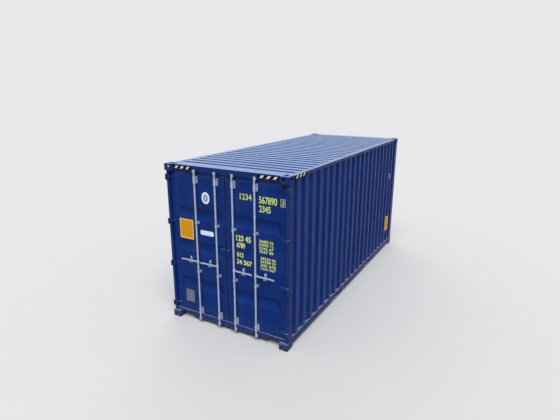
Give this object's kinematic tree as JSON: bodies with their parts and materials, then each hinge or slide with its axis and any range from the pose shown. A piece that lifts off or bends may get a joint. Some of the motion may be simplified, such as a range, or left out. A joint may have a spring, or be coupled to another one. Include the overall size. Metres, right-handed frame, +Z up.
{
  "type": "shipping container",
  "caption": "Steel freight container with ribbed side walls, a grooved roof and a pair of cargo doors held shut by upright locking bars with swinging handles.",
  "frame": {"origin": "middle of the footprint, at the height of the corner castings' undersides", "axes": "+X along the length, away from the cargo doors; +Y across, towards the left-hand side as one faces the doors; +Z up"},
  "size_m": [6.058, 2.438, 2.896],
  "materials": {
    "frame_paint": "weathered gloss paint",
    "casting_paint": "painted steel casting, scuffed",
    "wall_paint": "weathered gloss paint on ribbed sheet",
    "roof_paint": "faded gloss paint",
    "door_paint": "gloss paint",
    "underframe_paint": "dull bitumen paint",
    "galvanised": "hot-dip galvanised, dull",
    "seal_rubber": "black rubber",
    "plywood": "varnished plywood"
  },
  "bodies": {
    "frame": {"bottom_castings": "casting_paint", "top_castings": "casting_paint", "right_door_post": "frame_paint", "left_door_post": "frame_paint", "front_posts": "frame_paint", "bottom_side_rails": "frame_paint", "top_side_rails": "frame_paint", "door_header": "frame_paint", "door_sill": "frame_paint", "front_top_rail": "frame_paint", "front_sill": "frame_paint", "right_side_wall": "wall_paint", "left_side_wall": "wall_paint", "front_wall": "wall_paint", "roof_sheet": "roof_paint", "roof_end_plates": "roof_paint", "floor": "plywood", "cross_members": "underframe_paint", "forklift_pockets": "underframe_paint", "cam_keepers": "casting_paint", "hinge_lugs": "frame_paint"},
    "right_door": {"right_door_stiles": "door_paint", "right_door_rails": "door_paint", "right_door_panel": "door_paint", "right_door_seal": "seal_rubber", "right_door_hinges": "door_paint", "right_door_brackets": "galvanised", "right_door_catches": "galvanised", "right_door_lug": "door_paint"},
    "left_door": {"left_door_stiles": "door_paint", "left_door_rails": "door_paint", "left_door_panel": "door_paint", "left_door_seal": "seal_rubber", "left_door_hinges": "door_paint", "left_door_brackets": "galvanised", "left_door_catches": "galvanised", "left_door_lug": "door_paint"},
    "right_outer_bar": {"right_outer_bar": "galvanised"},
    "right_outer_handle": {"right_outer_handle": "galvanised"},
    "right_inner_bar": {"right_inner_bar": "galvanised"},
    "right_inner_handle": {"right_inner_handle": "galvanised"},
    "left_inner_bar": {"left_inner_bar": "galvanised"},
    "left_inner_handle": {"left_inner_handle": "galvanised"},
    "left_outer_bar": {"left_outer_bar": "galvanised"},
    "left_outer_handle": {"left_outer_handle": "galvanised"}
  },
  "joints": [
    {"name": "right_door_swing", "type": "hinge", "parent": "frame", "child": "right_door", "pos_m": [-3.014, -1.204, 1.45], "axis": [0, 0, -1], "range_deg": [-266, 0]},
    {"name": "left_door_swing", "type": "hinge", "parent": "frame", "child": "left_door", "pos_m": [-3.014, 1.204, 1.45], "axis": [0, 0, 1], "range_deg": [-266, 0]},
    {"name": "right_outer_bar_turn", "type": "hinge", "parent": "right_door", "child": "right_outer_bar", "pos_m": [-2.989, -0.596, 1.45], "axis": [0, 0, -1], "range_deg": [0, 100]},
    {"name": "right_outer_handle_lift", "type": "hinge", "parent": "right_outer_bar", "child": "right_outer_handle", "pos_m": [-2.99, -0.64, 1.19], "axis": [-1, 0, 0], "range_deg": [0, 20]},
    {"name": "right_inner_bar_turn", "type": "hinge", "parent": "right_door", "child": "right_inner_bar", "pos_m": [-2.989, -0.172, 1.45], "axis": [0, 0, -1], "range_deg": [0, 100]},
    {"name": "right_inner_handle_lift", "type": "hinge", "parent": "right_inner_bar", "child": "right_inner_handle", "pos_m": [-2.99, -0.216, 1.19], "axis": [-1, 0, 0], "range_deg": [0, 20]},
    {"name": "left_inner_bar_turn", "type": "hinge", "parent": "left_door", "child": "left_inner_bar", "pos_m": [-2.989, 0.172, 1.45], "axis": [0, 0, 1], "range_deg": [0, 100]},
    {"name": "left_inner_handle_lift", "type": "hinge", "parent": "left_inner_bar", "child": "left_inner_handle", "pos_m": [-2.99, 0.216, 1.19], "axis": [1, 0, 0], "range_deg": [0, 20]},
    {"name": "left_outer_bar_turn", "type": "hinge", "parent": "left_door", "child": "left_outer_bar", "pos_m": [-2.989, 0.596, 1.45], "axis": [0, 0, 1], "range_deg": [0, 100]},
    {"name": "left_outer_handle_lift", "type": "hinge", "parent": "left_outer_bar", "child": "left_outer_handle", "pos_m": [-2.99, 0.64, 1.19], "axis": [1, 0, 0], "range_deg": [0, 20]}
  ]
}
